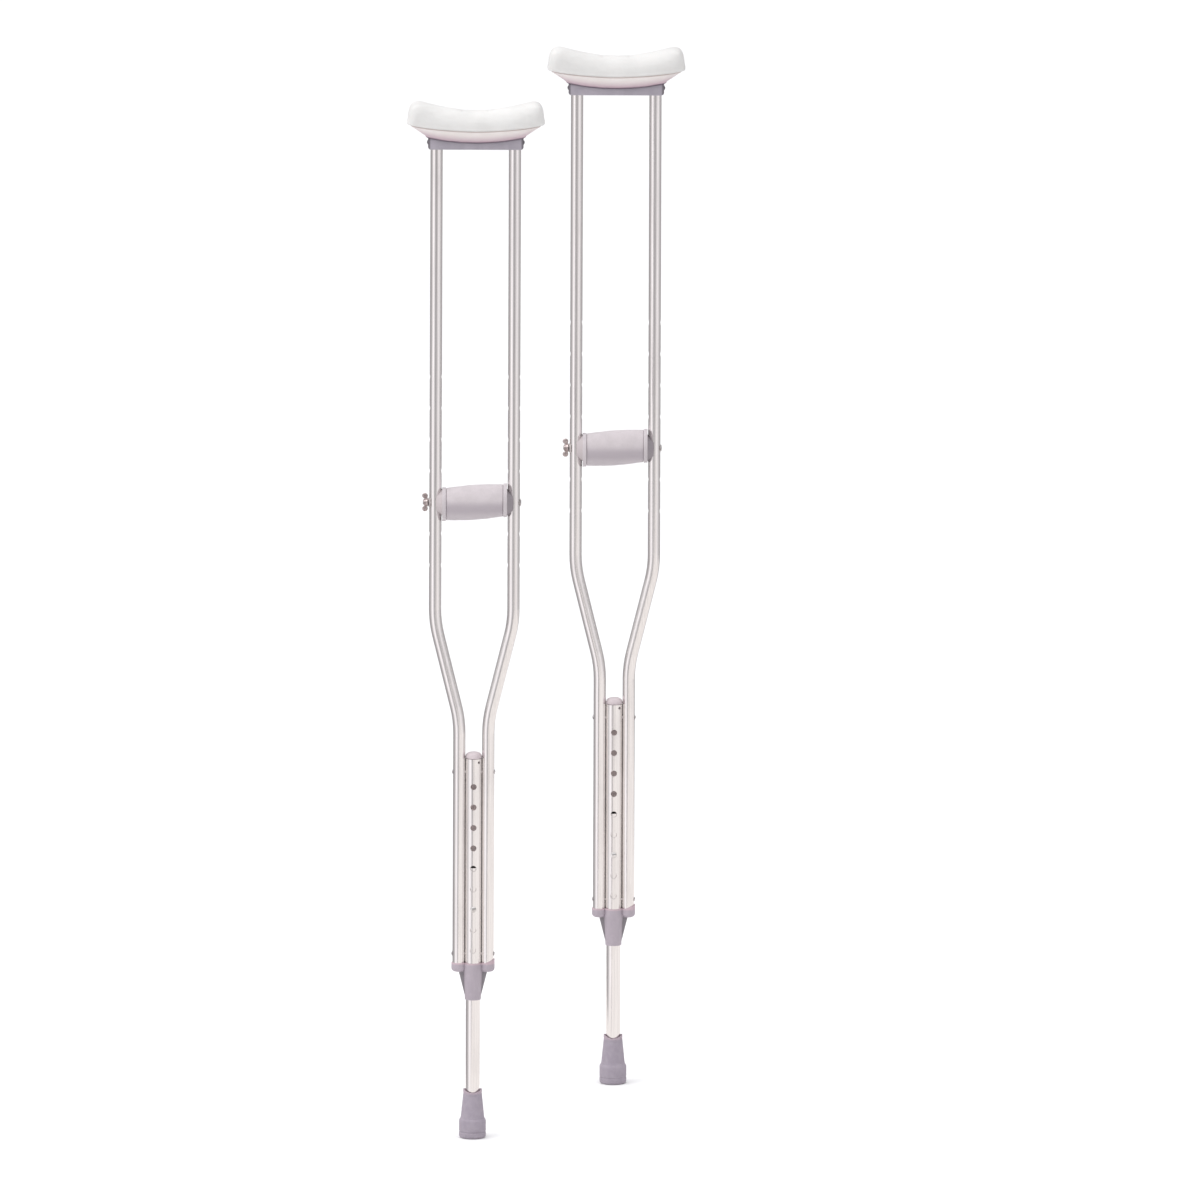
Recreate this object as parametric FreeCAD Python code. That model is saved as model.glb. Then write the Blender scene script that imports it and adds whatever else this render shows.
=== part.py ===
import FreeCAD, Part
import math
import os

# A pair of adjustable underarm crutches, in millimetres.
# +Z is up and the floor is z = 0. The pair stands with its box centred on the Z axis.
# Each crutch is flat in its own X-Z plane: the handgrip's bolt runs along X, with its
# wing nut at the -X end, and the snap button faces -Y.

# ---- where the two crutches stand ----
PLACES = {"left": (-94.0, -177.0), "right": (94.0, 177.0)}

# ---- tubes: outer radius and wall ----
UPRIGHT_R, UPRIGHT_WALL = 8.25, 1.2
CENTRE_R, CENTRE_WALL = 11.1, 1.4
LEG_R, LEG_WALL = 9.525, 1.4

# ---- the bow: two uprights that close in on the centre tube ----
TUBE_GAP = 0.05                 # between the centre tube and each upright
BOW_HALF = 52.5                 # upright axis to crutch axis, beside the handgrip
FOOT_HALF = CENTRE_R + UPRIGHT_R + TUBE_GAP
LOWER_BEND_Z, UPPER_BEND_Z = 571.0, 705.0
BEND_RADIUS = 150.0

# ---- collar that ties the three tubes and guides the leg ----
COLLAR_BOTTOM_Z, FLANGE_BOTTOM_Z, FLANGE_TOP_Z = 188.6, 226.6, 238.8
COLLAR_FLOOR = 2.5
COLLAR_WALL, COLLAR_HUB_R = 1.3, 12.6
BOSS_TOP_R, BOSS_FOOT_R = 12.6, 10.7
LOBE_FILLET = 5.0
GUSSET_ROOT, GUSSET_REACH, GUSSET_FOOT_Z, GUSSET_THICK = 10.5, 19.3, 192.6, 3.0
EAR_FROM, EAR_TO, EAR_RISE = -7.0, 12.0, 6.0   # the bolt-head socket's lip, along X from its axis

# ---- centre tube and its row of height holes ----
CENTRE_TOP_Z = 518.5
HOLE_COUNT, HOLE_PITCH, LOWEST_HOLE_Z, HOLE_R = 9, 28.0, 257.0, 4.1
BUTTON_HOLE = 2                 # the hole that the button sits in, counted up from 0
PLUG_RIM, PLUG_SKIRT = 2.0, 12.0
PLUG_DOME_R, PLUG_DOME = 10.9, 6.5
STAKE_R, STAKE_Z = 1.8, 514.0   # small hole that the plug is staked through
STAKE_TURN = 40.0               # degrees from the front towards +X

# ---- leg, snap button and its V spring ----
LEG_BOTTOM_Z, LEG_TOP_Z = 16.0, 369.5
LEG_HOLE_R = 4.2
BUTTON_Z = LOWEST_HOLE_Z + BUTTON_HOLE * HOLE_PITCH
BUTTON_R, BUTTON_PROUD, BUTTON_DOME = 3.95, 1.6, 1.2
BUTTON_FLANGE_R, BUTTON_FLANGE = 5.2, 1.0
BUTTON_FLANGE_Y = -6.1
SPRING_WIDTH, SPRING_THICK = 8.0, 0.8
SPRING_TOP, SPRING_KNEE, SPRING_FOOT = 8.0, -10.0, -52.0     # heights above the button
SPRING_BEND = 1.5

# ---- rubber tip ----
TIP_TOP_Z, TIP_BASE_TOP_Z = 66.0, 25.0
TIP_BASE_R, TIP_WAIST_R, TIP_RIM_R = 18.0, 15.4, 12.6
TIP_CHAMFER, TIP_SHOULDER, TIP_FLARE = 0.8, 1.5, 3.0
TIP_BEAD, TIP_BEAD_PROUD, TIP_BEAD_EDGE = 4.0, 0.5, 0.6
TREAD = [(2.0, 0), (2.0, 5.0), (0, 6.5), (0, 10.0), (2.0, 10.8), (2.0, 12.6), (0, 13.4)]     # height, radius
DISC_R, DISC_THICK = 9.4, 1.5

# ---- handgrip ----
GRIP_Z, GRIP_HOLE_PITCH = 869.0, 43.0
GRIP_HOLES_BELOW, GRIP_HOLES_ABOVE = 2, 4
GRIP_HALF = 38.4                # half of the foam's length
GRIP_MIDDLE_R, CORE_R = 23.6, 13.0
BARREL_HALF, BARREL_END_R, BARREL_BANDS = 44.4, 20.9, 8      # the longer barrel that the foam is cut from
GRIP_TILT = -4.0                # degrees that the foam and rims droop towards the nut
CUP_RIM_R, CUP_RIM, CUP_OVERRUN = 22.6, 5.0, 5.0
SADDLE_ROOT_R, SADDLE_TIP_R, SADDLE_LENGTH = 18.0, 12.5, 8.0

# ---- bolt, saddle washer and wing nut ----
BOLT_R, BOLT_HOLE_R, BOLT_END_X = 3.15, 3.5, -69.5
BOLT_POINT, BOLT_ROOM_R = 0.6, 3.3
HEAD_R, HEAD_HEIGHT = 5.0, 1.5
WASHER_THICK, WASHER_HALF_HEIGHT, WASHER_HALF_ANGLE = 1.5, 5.2, 45.0
WASHER_BORE_R = 3.35
NUT_LENGTH, NUT_BASE_R, NUT_NOSE_R, NUT_BORE_R = 6.0, 5.0, 4.1, 3.2
NUT_GAP = 0.05                  # between the nut and the washer
WING_R, WING_OUT, WING_BACK, WING_THICK = 3.8, 8.8, 4.0, 2.4
ARM_ROOT, ARM_FRONT_IN, ARM_REAR_IN = 3.4, 0.4, 1.0
ARM_FRONT, ARM_REAR = (0.75, 0.6), (0.8, 0.55)               # where the arms meet a wing, in wing radii

# ---- underarm pad and its holder ----
HOLDER_BOTTOM_Z, HOLDER_END_Z, HOLDER_MIDDLE_Z = 1354.5, 1370.0, 1363.2
HOLDER_HALF, HOLDER_HALF_DEPTH, HOLDER_CORNER = 64.0, 13.0, 4.0
HOLDER_POCKET_HALF, HOLDER_WALL, HOLDER_ROOF_Z = 40.0, 2.6, 1359.6
RIB_X, RIB_HALF = 13.0, 1.0
SOCKET_TOP_Z = 1366.0
HOLDER_RIVET_Z = 1362.2
PAD_HALF, PAD_HALF_DEPTH = 92.0, 24.0
PAD_SEAM_Z, PAD_SHOULDER_Z, PAD_HORN_Z, PAD_SADDLE_Z = 1388.5, 1402.0, 1417.6, 1403.6
PAD_HORN_X, PAD_FILLET = 77.0, 8.0
PAD_CORNER_IN, PAD_CORNER_DOWN = 0.28, 0.3                   # middle of the horn's outer curve, in shares

# ---- rivets and clearances ----
RIVET_R, RIVET_HEAD_R, RIVET_HEAD = 2.0, 3.2, 1.5
RIVET_TAIL = 2.0                # how far a holder rivet reaches into the bore
FRAME_RIVET_HEIGHTS = (251.0, 500.0)
FIT = 0.03                      # between fixed pieces
GUIDE = 0.08                    # between the leg and the collar
CLEAR = 0.3                     # between pieces that move past each other

# ---- shapes that only cut or join ----
PAST = 1.0                      # how far they reach past a face
WIDE = 80.0                     # half-size of the ones that span the whole grip
NEAR = 0.01                     # for finding edges by their place

V = FreeCAD.Vector
SIDES = {"nut_side": -1, "head_side": 1}


def rod(radius, start, end):
    """A cylinder between two points."""
    along = V(*end) - V(*start)
    return Part.makeCylinder(radius, along.Length, V(*start), along)


def tube(outer, inner, start, end):
    return rod(outer, start, end).cut(rod(inner, start, end))


def block(low, high):
    size = V(*high) - V(*low)
    return Part.makeBox(size.x, size.y, size.z, V(*low))


def fused(shapes):
    return shapes[0].multiFuse(shapes[1:]).removeSplitter() if shapes[1:] else shapes[0]


def closed_wire(edges):
    return Part.Wire(Part.__sortEdges__([e.toShape() if hasattr(e, "toShape") else e for e in edges]))


def polyline(points):
    return [Part.LineSegment(V(*a), V(*b)) for a, b in zip(points, points[1:])]


def turned(profile, start, axis):
    """A solid of revolution. The profile is a list of (distance along the axis, radius)."""
    across = V(0, 0, 1) if axis.x else V(1, 0, 0)
    points = [start + axis * along + across * radius for along, radius in profile]
    outline = Part.makePolygon(points + points[:1])
    return Part.Face(outline).revolve(start, axis, 360)


def domed_head(radius, height, face, axis):
    """A low dome whose flat side is at the point face and which bulges along axis."""
    ball = (radius**2 + height**2) / (2 * height)
    ball_shape = Part.makeSphere(ball, face - axis * (ball - height))
    return ball_shape.common(Part.makeCylinder(radius, height, face, axis))


def rounded_path(points, radius):
    """A planar path of straight runs joined by tangent arcs."""
    corners = [V(*p) for p in points]
    edges, start = [], corners[0]
    for before, corner, after in zip(corners, corners[1:], corners[2:]):
        back, on = (before - corner).normalize(), (after - corner).normalize()
        half = back.getAngle(on) / 2
        reach = radius / math.tan(half)
        middle = (back + on).normalize()
        nearest = corner + middle * (radius / math.sin(half) - radius)
        arc_start, arc_end = corner + back * reach, corner + on * reach
        edges.append(Part.LineSegment(start, arc_start).toShape())
        edges.append(Part.Arc(arc_start, nearest, arc_end).toShape())
        start = arc_end
    edges.append(Part.LineSegment(start, corners[-1]).toShape())
    return Part.Wire(edges)


def swept(path, section):
    return path.makePipeShell([section], True, True)


def bent_rod(points, bend, radius):
    along = V(*points[1]) - V(*points[0])
    section = Part.Wire(Part.Circle(V(*points[0]), along, radius).toShape())
    return swept(rounded_path(points, bend), section)


def rivet_holes(side):
    """Shanks of the rivets that tie one upright to the centre tube, a little loose."""
    far = side * (FOOT_HALF + UPRIGHT_R + PAST)
    return [rod(RIVET_R + FIT, (far, 0, z), (0, 0, z)) for z in FRAME_RIVET_HEIGHTS]


def holder_rivet_hole(side):
    """From the holder's end face into the upright's bore."""
    far = side * (HOLDER_HALF + PAST)
    return rod(RIVET_R + FIT, (far, 0, HOLDER_RIVET_Z), (side * BOW_HALF, 0, HOLDER_RIVET_Z))


def stake_hole():
    turn = math.radians(STAKE_TURN)
    reach = CENTRE_R + PAST
    return rod(STAKE_R, (0, 0, STAKE_Z), (reach * math.sin(turn), -reach * math.cos(turn), STAKE_Z))


def grip_hole_heights():
    return [GRIP_Z + k * GRIP_HOLE_PITCH for k in range(-GRIP_HOLES_BELOW, GRIP_HOLES_ABOVE + 1)]


# ---------------------------------------------------------------- frame

def upright(side):
    """One bent side tube, with its row of handgrip holes."""
    low, high = FLANGE_BOTTOM_Z + COLLAR_FLOOR, SOCKET_TOP_Z - FIT

    def route(past):
        return [
            (side * FOOT_HALF, 0, low - past),
            (side * FOOT_HALF, 0, LOWER_BEND_Z),
            (side * BOW_HALF, 0, UPPER_BEND_Z),
            (side * BOW_HALF, 0, high + past),
        ]

    shape = bent_rod(route(0), BEND_RADIUS, UPRIGHT_R)
    shape = shape.cut(bent_rod(route(PAST), BEND_RADIUS, UPRIGHT_R - UPRIGHT_WALL))
    near, far = side * (BOW_HALF - UPRIGHT_R - PAST), side * (BOW_HALF + UPRIGHT_R + PAST)
    holes = [rod(BOLT_HOLE_R, (near, 0, z), (far, 0, z)) for z in grip_hole_heights()]
    return shape.cut(holes + rivet_holes(side) + [holder_rivet_hole(side)])


def centre_tube():
    shape = tube(
        CENTRE_R,
        CENTRE_R - CENTRE_WALL,
        (0, 0, FLANGE_BOTTOM_Z + COLLAR_FLOOR),
        (0, 0, CENTRE_TOP_Z),
    )
    heights = [LOWEST_HOLE_Z + k * HOLE_PITCH for k in range(HOLE_COUNT)]
    holes = [rod(HOLE_R, (0, -CENTRE_R - PAST, z), (0, 0, z)) for z in heights]
    return shape.cut(holes + rivet_holes(-1) + rivet_holes(1) + [stake_hole()])


def centre_tube_plug():
    """Domed plastic plug in the open top of the centre tube."""
    bore = CENTRE_R - CENTRE_WALL - FIT
    top = CENTRE_TOP_Z + PLUG_RIM
    skirt = tube(bore, bore - CENTRE_WALL, (0, 0, CENTRE_TOP_Z - PLUG_SKIRT), (0, 0, CENTRE_TOP_Z))
    rim = rod(CENTRE_R, (0, 0, CENTRE_TOP_Z), (0, 0, top))
    dome = domed_head(PLUG_DOME_R, PLUG_DOME, V(0, 0, top), V(0, 0, 1))
    return fused([skirt, rim, dome]).cut(stake_hole())


def frame_rivets():
    """Rivets through each upright into the centre tube's wall, flush with its bore."""
    flush = math.hypot(CENTRE_R - CENTRE_WALL, RIVET_R) + FIT
    rivets = []
    for side in SIDES.values():
        outside = side * (FOOT_HALF + UPRIGHT_R)
        for z in FRAME_RIVET_HEIGHTS:
            shank = rod(RIVET_R, (outside, 0, z), (side * flush, 0, z))
            head = domed_head(RIVET_HEAD_R, RIVET_HEAD, V(outside, 0, z), V(side, 0, 0))
            rivets.append(shank.fuse(head))
    return Part.makeCompound(rivets)


def collar_ear():
    """Raised lip of the collar's bolt-head socket: its top slopes up to its outer side."""
    width, low = UPRIGHT_R + COLLAR_WALL, FLANGE_TOP_Z - PAST
    lobe = rod(width, (FOOT_HALF, 0, low), (FOOT_HALF, 0, FLANGE_TOP_Z + EAR_RISE))
    slope = polyline([
        (FOOT_HALF + EAR_FROM, -width, low),
        (FOOT_HALF + EAR_TO, -width, low),
        (FOOT_HALF + EAR_TO, -width, FLANGE_TOP_Z + EAR_RISE),
        (FOOT_HALF + EAR_FROM, -width, low),
    ])
    return lobe.common(Part.Face(closed_wire(slope)).extrude(V(0, 2 * width, 0)))


def collar():
    """Moulded yoke: a flange of three sockets over a boss that guides the leg."""
    web_top = FLANGE_BOTTOM_Z + PAST
    boss_height = web_top - COLLAR_BOTTOM_Z
    parts = [
        rod(COLLAR_HUB_R, (0, 0, FLANGE_BOTTOM_Z), (0, 0, FLANGE_TOP_Z)),
        Part.makeCone(BOSS_FOOT_R, BOSS_TOP_R, boss_height, V(0, 0, COLLAR_BOTTOM_Z)),
    ]
    for side in SIDES.values():
        x = side * FOOT_HALF
        lobe = rod(UPRIGHT_R + COLLAR_WALL, (x, 0, FLANGE_BOTTOM_Z), (x, 0, FLANGE_TOP_Z))
        lowest = [e for e in lobe.Edges if e.BoundBox.ZMax < FLANGE_BOTTOM_Z + NEAR]
        parts.append(lobe.makeFillet(LOBE_FILLET, lowest))
        gusset = polyline([
            (side * GUSSET_ROOT, -GUSSET_THICK / 2, GUSSET_FOOT_Z),
            (side * GUSSET_REACH, -GUSSET_THICK / 2, web_top),
            (side * GUSSET_ROOT, -GUSSET_THICK / 2, web_top),
            (side * GUSSET_ROOT, -GUSSET_THICK / 2, GUSSET_FOOT_Z),
        ])
        parts.append(Part.Face(closed_wire(gusset)).extrude(V(0, GUSSET_THICK, 0)))
    parts.append(collar_ear())
    floor, past = FLANGE_BOTTOM_Z + COLLAR_FLOOR, FLANGE_TOP_Z + EAR_RISE + PAST
    holes = [
        rod(LEG_R + GUIDE, (0, 0, COLLAR_BOTTOM_Z - PAST), (0, 0, past)),
        rod(CENTRE_R + FIT, (0, 0, floor), (0, 0, past)),
    ]
    for side in SIDES.values():
        x = side * FOOT_HALF
        holes.append(rod(UPRIGHT_R + FIT, (x, 0, floor), (x, 0, past)))
    return fused(parts).cut(holes)


def arc_through(half, end_z, middle_z, y):
    """An arc, symmetric about the crutch's axis, from its +X end to its -X end."""
    return Part.Arc(V(half, y, end_z), V(0, y, middle_z), V(-half, y, end_z))


def pad_holder():
    """Moulded cradle under the pad: sockets for the tubes and a ribbed hollow between."""
    y, corner = -HOLDER_HALF_DEPTH, HOLDER_CORNER
    edges = [arc_through(HOLDER_HALF, HOLDER_END_Z, HOLDER_MIDDLE_Z, y)]
    low = HOLDER_BOTTOM_Z
    edges += polyline([(corner - HOLDER_HALF, y, low), (HOLDER_HALF - corner, y, low)])
    bulge = corner * (1 - math.sqrt(0.5))
    for side in SIDES.values():
        end, inner = side * HOLDER_HALF, side * (HOLDER_HALF - corner)
        edges.append(Part.Arc(
            V(inner, y, low), V(end - side * bulge, y, low + bulge), V(end, y, low + corner)))
        edges += polyline([(end, y, low + corner), (end, y, HOLDER_END_Z)])
    shape = Part.Face(closed_wire(edges)).extrude(V(0, 2 * HOLDER_HALF_DEPTH, 0))
    inside = HOLDER_HALF_DEPTH - HOLDER_WALL
    pocket = block((-HOLDER_POCKET_HALF, -inside, low - PAST), (HOLDER_POCKET_HALF, inside, HOLDER_ROOF_Z))
    ribs = [
        block((x - RIB_HALF, -inside, low), (x + RIB_HALF, inside, HOLDER_ROOF_Z))
        for x in (-RIB_X, RIB_X)
    ]
    sockets = [
        rod(UPRIGHT_R + FIT, (side * BOW_HALF, 0, low - PAST), (side * BOW_HALF, 0, SOCKET_TOP_Z))
        for side in SIDES.values()
    ]
    holes = [holder_rivet_hole(side) for side in SIDES.values()]
    return shape.cut([pocket.cut(ribs)] + sockets + holes)


def holder_rivets():
    """Blind rivets from the holder's end faces into the tops of the uprights."""
    tail = BOW_HALF + UPRIGHT_R - UPRIGHT_WALL - RIVET_TAIL
    rivets = []
    for side in SIDES.values():
        face = V(side * HOLDER_HALF, 0, HOLDER_RIVET_Z)
        shank = rod(RIVET_R, tuple(face), (side * tail, 0, HOLDER_RIVET_Z))
        rivets.append(shank.fuse(domed_head(RIVET_HEAD_R, RIVET_HEAD, face, V(side, 0, 0))))
    return Part.makeCompound(rivets)


def underarm_pad():
    """Soft pad: a saddle on top, straight ends and a belly that lies in the holder."""
    y = -PAD_HALF_DEPTH
    belly = arc_through(HOLDER_HALF, HOLDER_END_Z + CLEAR, HOLDER_MIDDLE_Z + CLEAR, y)
    edges = [belly, arc_through(PAD_HORN_X, PAD_HORN_Z, PAD_SADDLE_Z, y)]
    reach = PAD_HALF - PAD_HORN_X
    drop = PAD_HORN_Z - PAD_SHOULDER_Z
    for side in SIDES.values():
        end = side * PAD_HALF
        edges.append(Part.Arc(
            V(side * PAD_HORN_X, y, PAD_HORN_Z),
            V(end - side * reach * PAD_CORNER_IN, y, PAD_HORN_Z - drop * PAD_CORNER_DOWN),
            V(end, y, PAD_SHOULDER_Z)))
        edges += polyline([
            (end, y, PAD_SHOULDER_Z),
            (end, y, PAD_SEAM_Z),
            (side * HOLDER_HALF, y, HOLDER_END_Z + CLEAR),
        ])
    shape = Part.Face(closed_wire(edges)).extrude(V(0, 2 * PAD_HALF_DEPTH, 0))
    long_edges = [e for e in shape.Edges if e.BoundBox.YLength < NEAR]
    return shape.makeFillet(PAD_FILLET, long_edges)


# ---------------------------------------------------------------- leg

def leg_tube():
    shape = tube(LEG_R, LEG_R - LEG_WALL, (0, 0, LEG_BOTTOM_Z), (0, 0, LEG_TOP_Z))
    return shape.cut(rod(LEG_HOLE_R, (0, -LEG_R - PAST, BUTTON_Z), (0, 0, BUTTON_Z)))


def snap_button():
    """Domed pin with a flange that the spring holds against the leg's inner wall."""
    outward = V(0, -1, 0)
    proud = CENTRE_R + BUTTON_PROUD
    neck = V(0, BUTTON_FLANGE_Y, BUTTON_Z)
    shank = rod(BUTTON_R, (0, BUTTON_FLANGE_Y, BUTTON_Z), (0, BUTTON_DOME - proud, BUTTON_Z))
    dome = domed_head(BUTTON_R, BUTTON_DOME, V(0, BUTTON_DOME - proud, BUTTON_Z), outward)
    flange = Part.makeCylinder(BUTTON_FLANGE_R, BUTTON_FLANGE, neck - outward * BUTTON_FLANGE, outward)
    return fused([flange, shank, dome])


def button_spring():
    """Folded strip: one leaf behind the button, the other against the leg's back wall."""
    front = BUTTON_FLANGE_Y + BUTTON_FLANGE + FIT + SPRING_THICK / 2
    back = math.sqrt((LEG_R - LEG_WALL)**2 - (SPRING_WIDTH / 2)**2) - FIT - SPRING_THICK / 2
    top, knee, foot = (BUTTON_Z + height for height in (SPRING_TOP, SPRING_KNEE, SPRING_FOOT))
    path = rounded_path(
        [(0, front, top), (0, front, knee), (0, (front + back) / 2, foot), (0, back, knee), (0, back, top)],
        SPRING_BEND)
    half_w, half_t = SPRING_WIDTH / 2, SPRING_THICK / 2
    section = Part.makePolygon([
        V(-half_w, front - half_t, top),
        V(half_w, front - half_t, top),
        V(half_w, front + half_t, top),
        V(-half_w, front + half_t, top),
        V(-half_w, front - half_t, top),
    ])
    return swept(path, section)


def rubber_tip():
    """Moulded ferrule: flared base, waisted sleeve, beaded rim and a ringed tread."""
    bore, up = LEG_R + FIT, V(0, 0, 1)
    seat, waist_z = LEG_BOTTOM_Z - DISC_THICK, TIP_BASE_TOP_Z + TIP_FLARE
    bead_z = TIP_TOP_Z - TIP_BEAD
    outline = TREAD + [
        (0, TIP_BASE_R - TIP_CHAMFER),
        (TIP_CHAMFER, TIP_BASE_R),
        (TIP_BASE_TOP_Z - TIP_SHOULDER, TIP_BASE_R),
        (TIP_BASE_TOP_Z, TIP_BASE_R - TIP_SHOULDER),
        (waist_z, TIP_WAIST_R),
        (bead_z - TIP_CHAMFER, TIP_RIM_R - TIP_BEAD_PROUD),
        (bead_z, TIP_RIM_R),
        (TIP_TOP_Z - TIP_BEAD_EDGE, TIP_RIM_R),
        (TIP_TOP_Z, TIP_RIM_R - TIP_BEAD_EDGE),
        (TIP_TOP_Z, bore),
        (seat, bore),
        (seat, 0),
    ]
    return turned(outline, V(0, 0, 0), up)


def tip_disc():
    """Steel disc that keeps the tube's end from cutting through the rubber."""
    return rod(DISC_R, (0, 0, LEG_BOTTOM_Z - DISC_THICK), (0, 0, LEG_BOTTOM_Z))


# ---------------------------------------------------------------- handgrip

def tilted(shape):
    shape.rotate(V(0, 0, GRIP_Z), V(0, 1, 0), GRIP_TILT)
    return shape


def grip_slab(start, end):
    """A slice of space between two x values, wider than the grip."""
    return block((start, -WIDE, GRIP_Z - WIDE), (end, WIDE, GRIP_Z + WIDE))


def grip_foam():
    """Barrel-shaped foam sleeve on the core."""
    length = 2 * BARREL_HALF
    outline = [(length, 0), (0, 0)]
    for k in range(BARREL_BANDS + 1):
        along = length * k / BARREL_BANDS
        bulge = 1 - (along / BARREL_HALF - 1)**2
        outline.append((along, BARREL_END_R + (GRIP_MIDDLE_R - BARREL_END_R) * bulge))
    barrel = tilted(turned(outline, V(-BARREL_HALF, 0, GRIP_Z), V(1, 0, 0)))
    bore = rod(CORE_R + FIT, (-WIDE, 0, GRIP_Z), (WIDE, 0, GRIP_Z))
    return barrel.common(grip_slab(-GRIP_HALF, GRIP_HALF)).cut(bore)


def grip_core():
    return tube(CORE_R, BOLT_ROOM_R, (-GRIP_HALF, 0, GRIP_Z), (GRIP_HALF, 0, GRIP_Z))


def end_cup(side):
    """Moulded end: a rim against the foam and a saddle that straddles the upright."""
    inner, outer = GRIP_HALF + FIT, GRIP_HALF + CUP_RIM
    disc = tilted(rod(
        CUP_RIM_R,
        (side * (inner - CUP_OVERRUN), 0, GRIP_Z),
        (side * (outer + CUP_OVERRUN), 0, GRIP_Z),
    ))
    disc = disc.common(grip_slab(*sorted((side * inner, side * outer))))
    saddle = Part.makeCone(SADDLE_ROOT_R, SADDLE_TIP_R, SADDLE_LENGTH,
                           V(side * outer, 0, GRIP_Z), V(side, 0, 0))
    x = side * BOW_HALF
    tube_room = rod(UPRIGHT_R + CLEAR, (x, 0, GRIP_Z - WIDE), (x, 0, GRIP_Z + WIDE))
    bolt_room = rod(BOLT_ROOM_R, (-WIDE, 0, GRIP_Z), (WIDE, 0, GRIP_Z))
    return disc.fuse(saddle).cut([tube_room, bolt_room])


def handle_bolt():
    seat = BOW_HALF + UPRIGHT_R + CLEAR
    point_x = BOLT_END_X + BOLT_POINT
    shank = rod(BOLT_R, (point_x, 0, GRIP_Z), (seat, 0, GRIP_Z))
    point = Part.makeCone(BOLT_R, BOLT_R - BOLT_POINT, BOLT_POINT, V(point_x, 0, GRIP_Z), V(-1, 0, 0))
    head = domed_head(HEAD_R, HEAD_HEIGHT, V(seat, 0, GRIP_Z), V(1, 0, 0))
    return fused([shank, point, head])


def washer_face_x():
    return -(BOW_HALF + UPRIGHT_R + CLEAR + WASHER_THICK)


def saddle_washer():
    """Washer curved to the upright, between it and the wing nut."""
    inner, height = UPRIGHT_R + CLEAR, 2 * WASHER_HALF_HEIGHT
    base = V(-BOW_HALF, 0, GRIP_Z - WASHER_HALF_HEIGHT)
    span = 2 * WASHER_HALF_ANGLE
    sector = Part.makeCylinder(inner + WASHER_THICK, height, base, V(0, 0, 1), span)
    sector.rotate(base, V(0, 0, 1), 180 - WASHER_HALF_ANGLE)
    room = Part.makeCylinder(inner, height, base, V(0, 0, 1))
    return sector.cut([room, rod(WASHER_BORE_R, (-WIDE, 0, GRIP_Z), (0, 0, GRIP_Z))])


def wing_nut():
    """Tapered hub with two round wings that lean away from the upright."""
    face = washer_face_x() - NUT_GAP
    rear = face - NUT_LENGTH
    hub = Part.makeCone(NUT_BASE_R, NUT_NOSE_R, NUT_LENGTH, V(face, 0, GRIP_Z), V(-1, 0, 0))
    parts = [hub]
    y, x = -WING_THICK / 2, face - WING_BACK
    for side in (-1, 1):
        z = GRIP_Z + side * WING_OUT
        lobe = rod(WING_R, (x, y, z), (x, -y, z))
        root_z = GRIP_Z + side * ARM_ROOT
        arm = polyline([
            (face - ARM_FRONT_IN, y, root_z),
            (x + WING_R * ARM_FRONT[0], y, z - side * WING_R * ARM_FRONT[1]),
            (x - WING_R * ARM_REAR[0], y, z - side * WING_R * ARM_REAR[1]),
            (rear + ARM_REAR_IN, y, root_z),
            (face - ARM_FRONT_IN, y, root_z),
        ])
        parts += [lobe, Part.Face(closed_wire(arm)).extrude(V(0, WING_THICK, 0))]
    return fused(parts).cut(rod(NUT_BORE_R, (face + PAST, 0, GRIP_Z), (rear - PAST, 0, GRIP_Z)))


# ---------------------------------------------------------------- the pair

def crutch():
    """Every piece of one crutch, by name, about its own axis."""
    pieces = {
        "centre_tube": centre_tube(),
        "centre_tube_plug": centre_tube_plug(),
        "collar": collar(),
        "frame_rivets": frame_rivets(),
        "pad_holder": pad_holder(),
        "holder_rivets": holder_rivets(),
        "underarm_pad": underarm_pad(),
        "leg_tube": leg_tube(),
        "snap_button": snap_button(),
        "button_spring": button_spring(),
        "rubber_tip": rubber_tip(),
        "tip_disc": tip_disc(),
        "grip_foam": grip_foam(),
        "grip_core": grip_core(),
        "handle_bolt": handle_bolt(),
        "saddle_washer": saddle_washer(),
        "wing_nut": wing_nut(),
    }
    for name, side in SIDES.items():
        pieces["upright_" + name] = upright(side)
        pieces["end_cup_" + name] = end_cup(side)
    return pieces


os.makedirs("parts", exist_ok=True)
one_crutch = crutch()
for which, (x, y) in PLACES.items():
    for name, piece in one_crutch.items():
        placed = piece.copy()
        placed.translate(V(x, y, 0))
        placed.exportStep("parts/" + which + "_" + name + ".step")
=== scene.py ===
import math

import bmesh
import bpy
from mathutils import Matrix, Vector, noise


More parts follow.
